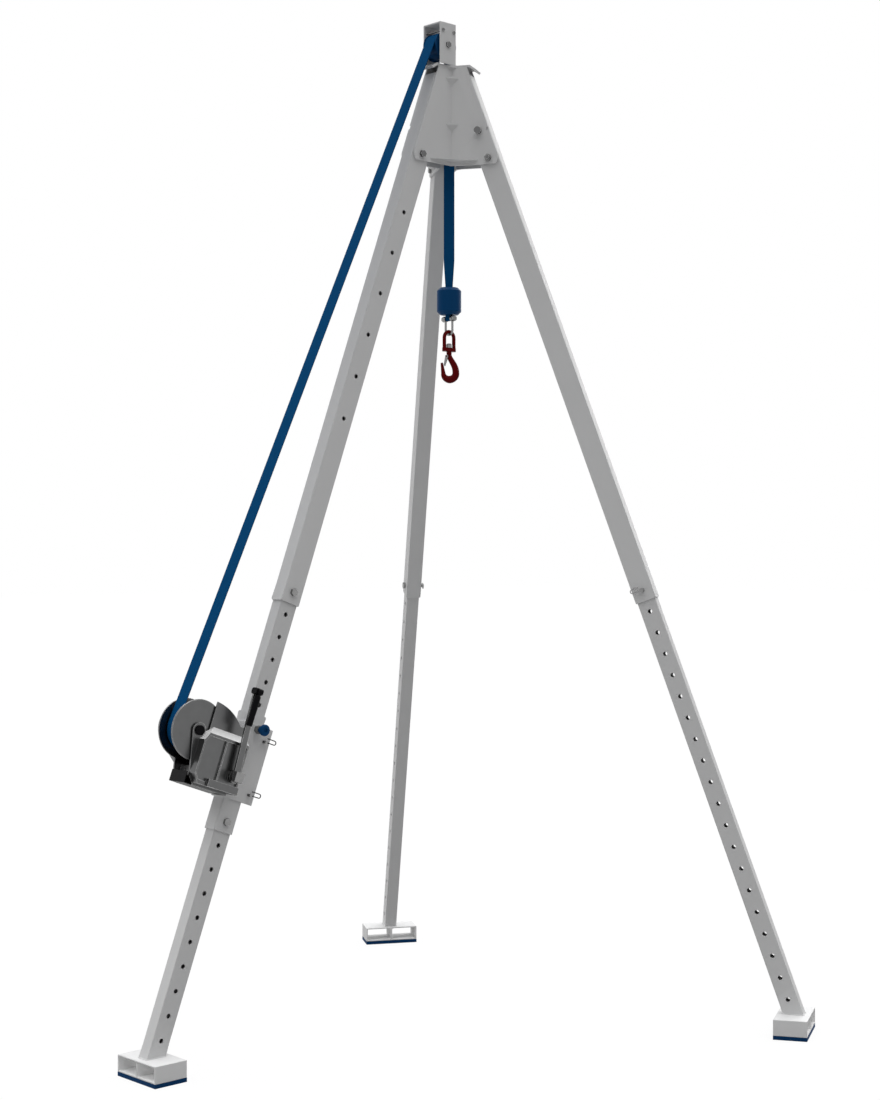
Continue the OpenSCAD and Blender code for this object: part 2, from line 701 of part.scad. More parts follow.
module gear_cover() color("gray") on_leg(0) difference() {
    plate_x(-case_x1, case_x1 - side_x1) cover_outline(cover_room + case_wall);
    plate_x(-case_x1 + case_wall, case_x1 - side_x1) cover_outline(cover_room);
    translate([0, drum_y[0], drum_y[1]]) bar_x(-2 * case_x1, 0, drum_axle_r + slip);
}

// Involute gear outline with a tooth on the X axis
teeth_back = 0.16;
press = 20;
flank_steps = 4;
radian = 180 / PI;
function involute(b, t) = [b * (cos(t) + t / radian * sin(t)), b * (sin(t) - t / radian * cos(t))];
function roll_angle(b, r) = r <= b ? 0 : sqrt(r * r / b / b - 1) * radian;
function flank_turn(p, b) = let (t = roll_angle(b, p), q = involute(b, t)) atan2(q[1], q[0]);
module gear_outline(z) {
    p = gear_m * z / 2;
    b = p * cos(press);
    tip = p + 0.8 * gear_m;
    root = p - 1.15 * gear_m;
    half = 90 / z - teeth_back / p * radian + flank_turn(p, b);
    flank = [for (i = [0:flank_steps]) turn2(involute(b, roll_angle(b, tip) * i / flank_steps), -half)];
    other = [for (i = [flank_steps:-1:0]) [flank[i][0], -flank[i][1]]];
    foot = 0.98 * root;
    circle(root);
    for (i = [0:z - 1]) rotate(i * 360 / z)
        polygon(concat([[0.9 * root, 0], polar(foot, -half)], flank, other, [polar(foot, half)]));
}
// Gear on X with a tooth at the given turn
module gear(x0, z, turned) plate_x(x0, gear_w) rotate(turned) gear_outline(z);
function heading(p, q) = atan2(q[1] - p[1], q[0] - p[0]);
axle_end = 6;
axle_cap_r = 17;
module drum_axle() color("dimgray") at_side(drum_y) {
    bar_x(-case_x1 - 2, side_x1 + axle_end, drum_axle_r);
    bar_x(side_x1 + slip, side_x1 + axle_end, axle_cap_r);
}
// Half section of one flange, from the core out, on the side of X given by its sign
function flange_half(side) = [[core_r, side * drum_half], [flange_r - 1, side * drum_half],
    [flange_r, side * (drum_half + 1)], [flange_r, side * (drum_half + flange_t - 2)],
    [flange_r - 2, side * (drum_half + flange_t)]];
drum_well_r = 18;
drum_well = 12;
module drum() {
    face = drum_half + flange_t;
    bore = drum_axle_r + run_fit;
    left = flange_half(-1);
    color("gray") at_side(drum_y) rotate([0, 90, 0]) rotate_extrude() polygon(concat(
        [[bore, -face]], [for (i = [len(left) - 1:-1:0]) left[i]], flange_half(1),
        [[drum_well_r, face], [drum_well_r, face - drum_well], [bore, face - drum_well]]));
}
module drum_gear() color("slategray") at_side(drum_y) difference() {
    union() {
        gear(-gear_x0 - gear_w, drum_teeth, heading(drum_y, cross_y));
        bar_x(-gear_x0 - gear_w / 2, -drum_half - flange_t, gear_hub_r);
    }
    bar_x(-2 * gear_x0, 0, drum_axle_r + run_fit);
}
cross_end = case_x1 - case_wall - fit;
module cross_shaft() color("dimgray") at_side(cross_y) bar_x(-cross_end, cross_end, shaft_r);
module cross_gears() color("slategray") at_side(cross_y) difference() {
    union() {
        gear(-gear_x0 - gear_w, cross_teeth, heading(cross_y, drum_y) + 180 / cross_teeth);
        gear(gear_x0, wheel_teeth, heading(cross_y, crank_y));
    }
    bar_x(-2 * gear_x0, 2 * gear_x0, shaft_r + slip);
}

// Crank: shaft with pinion, brake discs and end block, then the arm and the folding grip
arm_room = 2;
arm_x0 = knob_x0 + knob_l + knob_pull + arm_room;
arm_t = 8;
arm_x1 = arm_x0 + arm_t;
disc_r = 22;
disc_t = 5;
disc_hub_r = 12;
disc_x0 = case_x1 + arm_room;
ratchet_r = 19;
ratchet_teeth = 12;
ratchet_depth = 3;
block_w = 34;
block_t = 18;
module ratchet_outline() for (i = [0:ratchet_teeth - 1]) rotate(i * 360 / ratchet_teeth)
    polygon([[0, 0], [ratchet_r, 0], polar(ratchet_r - ratchet_depth, 360 / ratchet_teeth)]);
module crank_shaft() color("dimgray") at_side(crank_y) {
    gap = (arm_x0 - slip - disc_x0 - 3 * disc_t) / 2;
    bar_x(side_x1 + fit, arm_x1 + block_t / 2, shaft_r);
    gear(gear_x0, crank_teeth, heading(crank_y, cross_y) + 180 / crank_teeth);
    bar_x(disc_x0, disc_x0 + disc_t, disc_r);
    bar_x(disc_x0, arm_x0 - slip, disc_hub_r);
    plate_x(disc_x0 + disc_t + gap, disc_t) ratchet_outline();
    bar_x(arm_x0 - slip - disc_t, arm_x0 - slip, disc_r);
    translate([arm_x1 + slip, -block_w / 2, -block_w / 2]) cube([block_t, block_w, block_w]);
}
arm_tilt = 4;
arm_end = crank_y + crank_l * [-sin(arm_tilt), cos(arm_tilt)];
arm_r0 = 13;
arm_r1 = 9;
knuckle_l = 18;
knuckle_r = 11;
ear_t = 6;
ears_w = knuckle_l + 2 * (ear_t + fit);
trunnion_r = 4;
grip_r = 13;
grip_room = 2;
knuckle_x = arm_x1 + grip_r + grip_room;
module crank_arm() color("gray") on_leg(0) difference() {
    union() {
        plate_x(arm_x0, arm_t) tapered_bar(crank_y, arm_r0, arm_end, arm_r1);
        translate([arm_x0, arm_end[0] - ears_w / 2, arm_end[1] - knuckle_r]) difference() {
            cube([knuckle_x - arm_x0 + knuckle_r / 2, ears_w, 2 * knuckle_r]);
            translate([arm_t, ear_t, -knuckle_r]) cube([2 * knuckle_x, knuckle_l + 2 * fit, 4 * knuckle_r]);
        }
    }
    translate([0, crank_y[0], crank_y[1]]) bar_x(0, 2 * arm_x1, shaft_r + slip);
    translate([knuckle_x, arm_end[0], arm_end[1]]) rotate([90, 0, 0])
        cylinder(h = 3 * ears_w, r = trunnion_r + run_fit, center = true);
}
grip_l = 104;
spindle_r = 6;
cap_t = 4;
cap_rim = 4;
grip_top = knuckle_r + 1;
module at_grip() on_leg(0) translate([knuckle_x, arm_end[0], arm_end[1]]) children();
module grip_bracket() color("black") at_grip() {
    rotate([90, 0, 0]) cylinder(h = knuckle_l, r = knuckle_r, center = true);
    rotate([90, 0, 0]) cylinder(h = ears_w, r = trunnion_r, center = true);
    translate([0, 0, -grip_top - grip_l - fit - cap_t / 2]) cylinder(h = grip_top + grip_l, r = spindle_r);
    translate([0, 0, -grip_top - grip_l - fit - cap_t]) cylinder(h = cap_t, r = spindle_r + cap_rim);
}
module grip() color("black") at_grip() translate([0, 0, -grip_top - grip_l]) rotate_extrude() polygon([
    [spindle_r + run_fit, 0], [grip_r - 4, 0], [grip_r - 3, 2], [grip_r - 1, 0.8 * grip_l],
    [grip_r - 2, grip_l - 5], [grip_r - 5, grip_l], [spindle_r + run_fit, grip_l]]);

// Strap stop, shackle and swivel hook
stop_c = 12;
stop_z0 = stop_z - stop_h;
shackle_r = shackle_d / 2;
shackle_pin_r = 6;
shackle_down = 15;
shackle_z = stop_z0 - shackle_down;
shackle_half = 19;
shackle_l = 61;
bow_z = shackle_z - shackle_l;
lug_half = 5;
lug_r = 11;
eye_room = 2;
eye_w = 2 * (shackle_half - lug_half - eye_room);
module strap_stop() color("royalblue") translate([0, 0, stop_z0]) rotate_extrude() polygon([[0, 0],
    [stop_d / 2 - stop_c, 0], [stop_d / 2, stop_c], [stop_d / 2, stop_h - stop_c],
    [stop_d / 2 - stop_c, stop_h], [0, stop_h]]);
module strap_eye() {
    loop_r = shackle_pin_r + fit + strap_t;
    color("midnightblue") plate_x(-eye_w / 2, eye_w) difference() {
        union() {
            translate([0, shackle_z]) circle(loop_r);
            translate([-loop_r, shackle_z]) square([2 * loop_r, shackle_down]);
        }
        translate([0, shackle_z]) circle(shackle_pin_r + fit);
    }
}
module shackle() color("silver") {
    difference() {
        for (side = [-1, 1]) translate([side * shackle_half, 0, shackle_z]) {
            bar_x(-lug_half, lug_half, lug_r);
            translate([0, 0, -shackle_l + shackle_half])
                cylinder(h = shackle_l - shackle_half, r = shackle_r);
        }
        translate([0, 0, shackle_z]) bar_x(-2 * shackle_half, 2 * shackle_half, shackle_pin_r + slip);
    }
    translate([0, 0, bow_z + shackle_half]) rotate([90, 0, 0]) rotate([0, 0, 180])
        rotate_extrude(angle = 180) translate([shackle_half, 0]) circle(shackle_r);
}
shackle_nut = 9;
shackle_af = 19;
shackle_end = shackle_half + lug_half + fit;
module shackle_pin() color("dimgray") translate([0, 0, shackle_z]) {
    bar_x(-shackle_end - shackle_nut - shackle_r, shackle_end + 1, shackle_pin_r);
    hex_x(shackle_end, shackle_end + shackle_nut, shackle_af);
    difference() {
        hex_x(-shackle_end - shackle_nut, -shackle_end, shackle_af);
        bar_x(-2 * shackle_end, 0, shackle_pin_r + slip);
    }
}
swivel_r = 7;
arch_r = 24;
arch_z = bow_z + shackle_r + fit + swivel_r - arch_r;
block_h = 14;
block_r = 11;
block_z = arch_z - arch_r - 2 * block_h;
shank_r = 8;
module swivel_eye() color("darkred") {
    translate([0, 0, arch_z]) rotate([0, 0, 90]) rotate([90, 0, 0]) rotate_extrude(angle = 180)
        translate([arch_r, 0]) circle(swivel_r);
    for (side = [-1, 1]) translate([0, side * arch_r, block_z + block_h / 2])
        cylinder(h = arch_z - block_z - block_h / 2, r = swivel_r);
    difference() {
        translate([0, 0, block_z]) linear_extrude(block_h)
            tapered_bar([0, -arch_r + swivel_r / 2], block_r, [0, arch_r - swivel_r / 2], 0.99 * block_r);
        translate([0, 0, block_z - 1]) cylinder(h = 2 * block_h, r = shank_r + run_fit);
    }
}
nut_h = 13;
module swivel_nut() color("dimgray") translate([0, 0, block_z + block_h + fit]) difference() {
    cylinder(h = nut_h, r = hex_af / 2 / cos(30), $fn = 6);
    translate([0, 0, -1]) cylinder(h = 2 * nut_h, r = shank_r + slip);
}

// Hook: a round section swept down the neck, round the bowl and up to the tip
collar_r = 10;
collar_h = 8;
neck_z = block_z - fit - collar_h;
bowl_r = 24;
bowl_c = [2, neck_z - 74];
tip = [-28, neck_z - 34];
neck_steps = 12;
bowl_steps = 20;
tip_steps = 5;
hook_sides = 12;
flat = 0.75;
function bezier(a, b, c, d, t) = a * pow(1 - t, 3) + 3 * b * t * pow(1 - t, 2)
    + 3 * c * t * t * (1 - t) + d * pow(t, 3);
neck_top = [0, neck_z];
neck_end = bowl_c + [bowl_r, 0];
neck_pull = [[0, -24], [0, 36]];
neck_line = [for (i = [0:neck_steps])
    bezier(neck_top, neck_top + neck_pull[0], neck_end + neck_pull[1], neck_end, i / neck_steps)];
bowl_line = [for (i = [1:bowl_steps]) bowl_c + polar(bowl_r, -180 * i / bowl_steps)];
bowl_end = bowl_c - [bowl_r, 0];
tip_line = [for (i = [1:tip_steps]) bowl_end + (tip - bowl_end) * i / tip_steps];
hook_line = concat(neck_line, bowl_line, tip_line);
hook_last = len(hook_line) - 1;
neck_half = 9;
bowl_half = 14.5;
tip_half = 4.5;
thick_at = 0.6;
// Half width of the section along the line: neck, thick bowl, thin tip
function hook_half(u) = u < thick_at
    ? neck_half + (bowl_half - neck_half) * sin(90 * u / thick_at)
    : bowl_half - (bowl_half - tip_half) * pow((u - thick_at) / (1 - thick_at), 1.2);
function line_dir(i) = unit2(hook_line[min(i + 1, hook_last)] - hook_line[max(i - 1, 0)]);
function hook_ring(i) = let (d = line_dir(i), w = hook_half(i / hook_last))
    [for (j = [0:hook_sides - 1])
        let (a = 360 * j / hook_sides, q = hook_line[i] + [-d[1], d[0]] * w * cos(a))
            [q[0], w * flat * sin(a), q[1]]];
module hook_body() polyhedron(
    points = [for (i = [0:hook_last]) each hook_ring(i)],
    faces = concat([[for (j = [hook_sides - 1:-1:0]) j]],
        [for (i = [0:hook_last - 1], j = [0:hook_sides - 1])
            let (a = i * hook_sides, n = (j + 1) % hook_sides)
                [a + n, a + hook_sides + n, a + hook_sides + j, a + j]],
        [[for (j = [0:hook_sides - 1]) hook_last * hook_sides + j]]));
latch_pin_r = 2.5;
latch_lug_r = 6;
latch_at = [-9, neck_z - 10];
latch_to = [-17, tip[1] - 9];
latch_y = 8.4;
latch_t = 2;
latch_r0 = 5.5;
latch_r1 = 3.2;
latch_web = 0.7;
module hook() color("darkred") rotate([0, 0, hook_turn]) {
    pin_half = latch_y + latch_t + 2;
    hook_body();
    translate([0, 0, neck_z - 1]) cylinder(h = collar_h + 1, r = collar_r);
    translate([0, 0, neck_z]) cylinder(h = collar_h + 2 * fit + block_h + nut_h + 3, r = shank_r);
    translate([latch_at[0], 0, latch_at[1]]) rotate([90, 0, 0]) {
        cylinder(h = 2 * (latch_y - fit), r = latch_lug_r, center = true);
        cylinder(h = 2 * pin_half, r = latch_pin_r, center = true);
    }
}
module latch() color("silver") rotate([0, 0, hook_turn]) {
    web_at = latch_at + (latch_to - latch_at) * latch_web;
    side = latch_y + latch_t;
    for (y = [side, -latch_y]) translate([0, y, 0]) rotate([90, 0, 0]) linear_extrude(latch_t) difference() {
        tapered_bar(latch_at, latch_r0, latch_to, latch_r1);
        translate(latch_at) circle(latch_pin_r + run_fit);
    }
    translate([0, side, 0]) rotate([90, 0, 0]) linear_extrude(2 * side)
        tapered_bar(web_at, latch_t + 0.1, latch_to, latch_t);
}

cheek_plates();
top_plate();
head_gussets();
pulley_bracket();
strap_guards();
pulley_axle();
pulley();
hinge_bolts();
hinge_nuts();
lock_guides();
leg_lock(0);  // leg_lock_a
leg_lock(1);  // leg_lock_b
leg_lock(2);  // leg_lock_c
outer_tube(0);  // outer_tube_a
outer_tube(1);  // outer_tube_b
outer_tube(2);  // outer_tube_c
leg_pin(0);  // leg_pin_a
leg_pin(1);  // leg_pin_b
leg_pin(2);  // leg_pin_c
inner_tube(0);  // inner_tube_a
inner_tube(1);  // inner_tube_b
inner_tube(2);  // inner_tube_c
foot(0);  // foot_a
foot(1);  // foot_b
foot(2);  // foot_c
sole(0);  // sole_a
sole(1);  // sole_b
sole(2);  // sole_c
winch_sleeve();
console();
winch_pins();
winch_clips();
plunger_guide();
plunger_knob();
winch_frame();
drum_tray();
winch_bolts();
gear_case();
gear_cover();
drum_axle();
drum();
drum_gear();
strap_roll();
cross_shaft();
cross_gears();
crank_shaft();
crank_arm();
grip_bracket();
grip();
strap_upper();
strap_lower();
strap_drop();
strap_stop();
strap_eye();
shackle();
shackle_pin();
swivel_eye();
swivel_nut();
hook();
latch();
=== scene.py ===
"""Looks of the rescue tripod: a finish on every piece, woven strap, weld beads, stage, light and camera."""
import json
import math

import bmesh
import bpy
import numpy as np
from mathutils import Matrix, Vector


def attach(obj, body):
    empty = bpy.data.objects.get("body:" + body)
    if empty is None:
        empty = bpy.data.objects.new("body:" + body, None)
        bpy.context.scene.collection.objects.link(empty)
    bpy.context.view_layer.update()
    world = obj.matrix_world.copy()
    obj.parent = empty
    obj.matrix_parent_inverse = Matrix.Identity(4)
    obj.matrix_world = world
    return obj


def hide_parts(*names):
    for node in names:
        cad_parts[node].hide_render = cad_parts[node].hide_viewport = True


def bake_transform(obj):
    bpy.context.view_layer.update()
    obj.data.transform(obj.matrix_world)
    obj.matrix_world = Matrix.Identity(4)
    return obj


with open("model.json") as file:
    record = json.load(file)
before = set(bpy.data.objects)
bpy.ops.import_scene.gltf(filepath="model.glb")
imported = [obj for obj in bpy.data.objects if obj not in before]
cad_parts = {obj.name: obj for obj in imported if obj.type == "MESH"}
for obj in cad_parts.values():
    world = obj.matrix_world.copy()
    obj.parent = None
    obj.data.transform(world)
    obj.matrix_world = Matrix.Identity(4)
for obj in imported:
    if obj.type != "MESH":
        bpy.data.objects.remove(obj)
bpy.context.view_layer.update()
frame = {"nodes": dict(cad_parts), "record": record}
NODES = frame["nodes"]
RECORD = frame["record"]
BODY_OF = {node: body for body, nodes in RECORD["behaviour"]["bodies"].items() for node in nodes}
SLOT_OF = {part["node"]: part["material_slot"] for part in RECORD["subparts"]}

# Sizes of the source, in metres; those of the fork are heights on the resting crank
LEGS = "abc"
LEG_TURN = math.radians(120)
LEAN = math.radians(20)
LEG_LENGTH = 3.447
HINGE_RADIUS = 0.167
FOOT_RADIUS = HINGE_RADIUS + LEG_LENGTH * math.sin(LEAN)
INNER_D = 0.070
INNER_W = 0.050
FOOT_W = 0.225
FOOT_H = 0.058
FOOT_TOP = 0.072
PULLEY_R = 0.048
PULLEY_RISE = 0.429
PULLEY_Z = LEG_LENGTH * math.cos(LEAN) + PULLEY_RISE
DRUM_S = 1.143
DRUM_N = 0.225
STRAP_W = 0.060
STRAP_T = 0.0026
ROLL_R = 0.075
ROLL_TURNS = 10
ROLL_PITCH = 0.0032
STOP_DROP = 0.911
STOP_LENGTH = 0.103
STOP_TOP = PULLEY_Z - STOP_DROP
STOP_BOTTOM = STOP_TOP - STOP_LENGTH
NECK_W = 0.040
NECK_LENGTH = 0.1
EYE_W = 0.024
SHACKLE_PIN_DROP = 0.015
SHACKLE_PIN_Z = STOP_BOTTOM - SHACKLE_PIN_DROP
SHACKLE_PIN_R = 0.006
FORK_FOOT = 1.25
FORK_BLACK = 1.262

# Sizes of the dressing, in metres
MERGE = 1e-6
EAR_R = 0.009
EAR_CORNER_R = 0.0035
BEAD_R = 0.0026

# Points along the strap's turn on the pulley, a straight run, the drop, a wound turn and the end loop
ARC_STEPS = 40
RUN_STEPS = 60
DROP_STEPS = 120
TURN_STEPS = 48
LOOP_STEPS = 24

X_AXIS = np.array([1.0, 0.0, 0.0])
WHITE = (1, 1, 1, 1)


def leg_point(k, along, out, across=0.0):
    """Point on leg k, k thirds of a turn round: along it from the floor, out from its axis and across."""
    radius = FOOT_RADIUS - along * math.sin(LEAN) + out * math.cos(LEAN)
    height = along * math.cos(LEAN) + out * math.sin(LEAN)
    turn = LEG_TURN * k
    x = across * math.cos(turn) + radius * math.sin(turn)
    y = across * math.sin(turn) - radius * math.cos(turn)
    return np.array([x, y, height])


# Paths
def yz(points):
    """Points given as Y and Z on the plane X = 0."""
    return np.column_stack([np.zeros(len(points)), points])


def line(a, b, count):
    """Evenly spaced points from a to b, without the first."""
    t = np.linspace(0, 1, count + 1)[1:, None]
    return a + (b - a) * t


def run_length(path):
    """Distance along a path from its first point to each of its points."""
    return np.concatenate([[0], np.cumsum(np.linalg.norm(np.diff(path, axis=0), axis=1))])


def unit(vectors):
    """Vectors in rows, each brought to length one."""
    return vectors / np.linalg.norm(vectors, axis=1)[:, None]


def normals_yz(path):
    """Unit normals of a path in the plane X = 0, to the left of its direction."""
    d = unit(np.gradient(path, axis=0))
    return np.column_stack([np.zeros(len(d)), -d[:, 2], d[:, 1]])


def ring(sides):
    """Angles round a section, without the last that closes it."""
    return np.linspace(0, 2 * np.pi, sides, endpoint=False)


# Meshes
def grid_faces(rows, cols):
    """Quads of a grid whose columns close on themselves, with an end face on the first and last row."""
    r, c = np.meshgrid(np.arange(rows - 1), np.arange(cols), indexing="ij")
    n = (c + 1) % cols
    quads = np.stack([r * cols + c, r * cols + n, (r + 1) * cols + n, (r + 1) * cols + c], -1)
    first = np.arange(cols)[::-1].tolist()
    last = ((rows - 1) * cols + np.arange(cols)).tolist()
    return quads.reshape(-1, 4).tolist() + [first, last]


def skin(name, points, uv=None, sharp=40):
    """Closed mesh over a grid of points, rows along the piece and columns round it, normals outwards."""
    rows, cols = points.shape[:2]
    mesh = bpy.data.meshes.new(name)
    mesh.from_pydata(points.reshape(-1, 3).tolist(), [], grid_faces(rows, cols))
    if uv is not None:
        layer = mesh.uv_layers.new(name="weave")
        index = np.zeros(len(mesh.loops), np.int32)
        mesh.loops.foreach_get("vertex_index", index)
        layer.data.foreach_set("uv", uv.reshape(-1, 2)[index].astype(np.float32).ravel())
    outwards(mesh)
    return place(name, mesh, sharp)


def outwards(mesh):
    """Turns every face of a closed mesh outwards."""
    edit = bmesh.new()
    edit.from_mesh(mesh)
    bmesh.ops.recalc_face_normals(edit, faces=edit.faces)
    edit.to_mesh(mesh)
    edit.free()


def show(name, data):
    """Object at the origin with a mesh, lamp or camera of its own."""
    piece = bpy.data.objects.new(name, data)
    bpy.context.scene.collection.objects.link(piece)
    return piece


def place(name, mesh, sharp):
    """Smooth-shaded object with edges sharper than an angle in degrees kept crisp."""
    mesh.polygons.foreach_set("use_smooth", np.ones(len(mesh.polygons), bool))
    mesh.set_sharp_from_angle(angle=math.radians(sharp))
    return show(name, mesh)


def of_faces(piece, what):
    """Centres or normals of a piece's faces, one row for each."""
    values = np.zeros(3 * len(piece.data.polygons), np.float32)
    piece.data.polygons.foreach_get(what, values)
    return values.reshape(-1, 3)


def sweep(path, half_w, sides=20, ribs=5, rib=0.00018):
    """Band along a path, flat across X: a superellipse with cosine ribs, and its UV map in metres."""
    squareness = 0.35
    selvedge = 0.98
    a = ring(sides)
    x = np.sign(np.cos(a)) * np.abs(np.cos(a)) ** squareness
    y = np.sign(np.sin(a)) * np.abs(np.sin(a)) ** squareness
    ridge = rib * np.cos(ribs * np.pi * x) * np.sign(y) * (np.abs(x) < selvedge)
    w = np.broadcast_to(half_w, len(path))[:, None] * x
    t = np.broadcast_to(STRAP_T / 2 * y + ridge, w.shape)
    points = path[:, None] + w[..., None] * X_AXIS + t[..., None] * normals_yz(path)[:, None]
    run = run_length(path)[:, None]
    uv = np.stack([np.broadcast_to(x * STRAP_W / 2, w.shape), np.broadcast_to(run, w.shape)], -1)
    return points, uv


# Nodes
FLOAT = "NodeSocketFloat"
COLOR = "NodeSocketColor"


def new_group(name, inputs, outputs):
    """Empty shader group with named sockets, and its input and output nodes."""
    group = bpy.data.node_groups.new(name, "ShaderNodeTree")
    for label, kind, value in inputs:
        socket = group.interface.new_socket(name=label, in_out="INPUT", socket_type=kind)
        socket.default_value = value
    for label, kind in outputs:
        group.interface.new_socket(name=label, in_out="OUTPUT", socket_type=kind)
    return group, group.nodes.new("NodeGroupInput"), group.nodes.new("NodeGroupOutput")


def add_group(tree, group, **values):
    """Places a shader group in a material with its own input values."""
    made = tree.nodes.new("ShaderNodeGroup")
    made.node_tree = group
    for label, value in values.items():
        made.inputs[label].default_value = value
    return made


def node(tree, kind, **values):
    """Adds a node and sets its properties and the inputs named by their socket labels."""
    made = tree.nodes.new("ShaderNode" + kind)
    for key, value in values.items():
        if hasattr(made, key):
            setattr(made, key, value)
        else:
            made.inputs[key].default_value = value
    return made


def math_node(tree, operation, a, b):
    """Math node on two sockets or numbers; gives its output socket."""
    made = node(tree, "Math", operation=operation)
    for socket, value in zip(made.inputs, (a, b)):
        if isinstance(value, bpy.types.NodeSocket):
            tree.links.new(value, socket)
        else:
            socket.default_value = value
    return made.outputs[0]


def mix_colors(tree, share):
    """Mix of two colours by a mask; gives the sockets of both colours and of the result."""
    mix = node(tree, "Mix", data_type="RGBA")
    tree.links.new(share, mix.inputs["Factor"])
    return mix.inputs[6], mix.inputs[7], mix.outputs[2]


def ripple(tree, distance, pitch):
    """Sine of a distance that repeats at a pitch."""
    return math_node(tree, "SINE", math_node(tree, "MULTIPLY", distance, 2 * math.pi / pitch), 0.0)


def make_mottle():
    """Slow cloudy variation of a colour and its roughness, with fine grain as a height."""
    group, source, sink = new_group(
        "mottle",
        [("Color", COLOR, WHITE), ("Clouds", FLOAT, 4.0), ("Depth", FLOAT, 0.1),
         ("Roughness", FLOAT, 0.4), ("Spread", FLOAT, 0.1), ("Grain", FLOAT, 300.0)],
        [("Color", COLOR), ("Roughness", FLOAT), ("Height", FLOAT)])
    middle = 0.5
    link = group.links.new
    where = node(group, "TexCoord")
    clouds = node(group, "TexNoise", Detail=5.0)
    grain = node(group, "TexNoise", Detail=3.0)
    link(where.outputs["Object"], clouds.inputs["Vector"])
    link(where.outputs["Object"], grain.inputs["Vector"])
    link(source.outputs["Clouds"], clouds.inputs["Scale"])
    link(source.outputs["Grain"], grain.inputs["Scale"])
    centred = math_node(group, "SUBTRACT", clouds.outputs["Fac"], middle)
    shade = math_node(group, "MULTIPLY", centred, source.outputs["Depth"])
    bright = math_node(group, "ADD", shade, 1.0)
    tint = node(group, "VectorMath", operation="SCALE")
    link(source.outputs["Color"], tint.inputs[0])
    link(bright, tint.inputs["Scale"])
    link(tint.outputs[0], sink.inputs["Color"])
    rough = math_node(group, "MULTIPLY", centred, source.outputs["Spread"])
    link(math_node(group, "ADD", rough, source.outputs["Roughness"]), sink.inputs["Roughness"])
    link(grain.outputs["Fac"], sink.inputs["Height"])
    return group


def make_wear_and_highlight_edges():
    """Mask of edges in patches, where a rounded normal leaves the true one: bare wear on most finishes, a
    painted highlight on the winch plates, the red paint and the blue mouldings.
    """
    group, source, sink = new_group(
        "edge_wear_and_highlight", [("Radius", FLOAT, 0.002), ("Amount", FLOAT, 0.6)], [("Mask", FLOAT)])
    link = group.links.new
    rounded = node(group, "Bevel", samples=4)
    link(source.outputs["Radius"], rounded.inputs["Radius"])
    true = node(group, "NewGeometry")
    dot = node(group, "VectorMath", operation="DOT_PRODUCT")
    link(rounded.outputs[0], dot.inputs[0])
    link(true.outputs["Normal"], dot.inputs[1])
    edge = math_node(group, "SUBTRACT", 1.0, dot.outputs["Value"])
    where = node(group, "TexCoord")
    patches = node(group, "TexNoise", Scale=25.0, Detail=4.0)
    link(where.outputs["Object"], patches.inputs["Vector"])
    patchy = math_node(group, "MULTIPLY", edge, patches.outputs["Fac"])
    scaled = node(group, "Math", operation="MULTIPLY", use_clamp=True)
    link(patchy, scaled.inputs[0])
    link(source.outputs["Amount"], scaled.inputs[1])
    link(scaled.outputs[0], sink.inputs["Mask"])
    return group


def make_weave():
    """Twill of a strap on its UV map: warp ribs times a slanted weft, darker towards the selvedge; the darker
    blue in the weave's troughs is painted shade.
    """
    group, source, sink = new_group(
        "weave", [("Light", COLOR, (0.02, 0.1, 0.3, 1)), ("Dark", COLOR, (0.0, 0.03, 0.1, 1))],
        [("Color", COLOR), ("Height", FLOAT)])
    warp_pitch = 0.004
    weft_pitch = 0.003
    slope = 0.8
    selvedge = 0.44
    link = group.links.new
    uv = node(group, "UVMap", uv_map="weave")
    split = node(group, "SeparateXYZ")
    link(uv.outputs[0], split.inputs[0])
    across, along = split.outputs[0], split.outputs[1]
    warp = ripple(group, across, warp_pitch)
    slant = math_node(group, "ADD", along, math_node(group, "MULTIPLY", across, slope))
    weft = ripple(group, slant, weft_pitch)
    half = math_node(group, "MULTIPLY", math_node(group, "MULTIPLY", warp, weft), 0.5)
    level = math_node(group, "ADD", half, 0.5)
    body = node(group, "MapRange", interpolation_type="SMOOTHSTEP")
    link(math_node(group, "ABSOLUTE", across, 0.0), body.inputs["Value"])
    body.inputs["From Min"].default_value = STRAP_W / 2
    body.inputs["From Max"].default_value = STRAP_W * selvedge
    # Painted shade: the low threads of the weave take the darker blue, the raised ones the lighter.
    dark, light, color = mix_colors(group, math_node(group, "MULTIPLY", level, body.outputs[0]))
    link(source.outputs["Dark"], dark)
    link(source.outputs["Light"], light)
    link(color, sink.inputs["Color"])
    link(level, sink.inputs["Height"])
    return group


MOTTLE = make_mottle()
EDGE_WEAR_AND_HIGHLIGHT = make_wear_and_highlight_edges()
WEAVE = make_weave()


# Finishes
def new_material(name):
    """Material with nodes of its own; gives it, its tree and its shader."""
    material = bpy.data.materials.new(name)
    material.use_nodes = True
    tree = material.node_tree
    return material, tree, tree.nodes["Principled BSDF"]


def add_relief(tree, shader, height, strength, depth):
    """Height over the surface as a bump of a strength and a depth in metres."""
    bump = node(tree, "Bump", Strength=strength, Distance=depth)
    tree.links.new(height, bump.inputs["Height"])
    tree.links.new(bump.outputs[0], shader.inputs["Normal"])


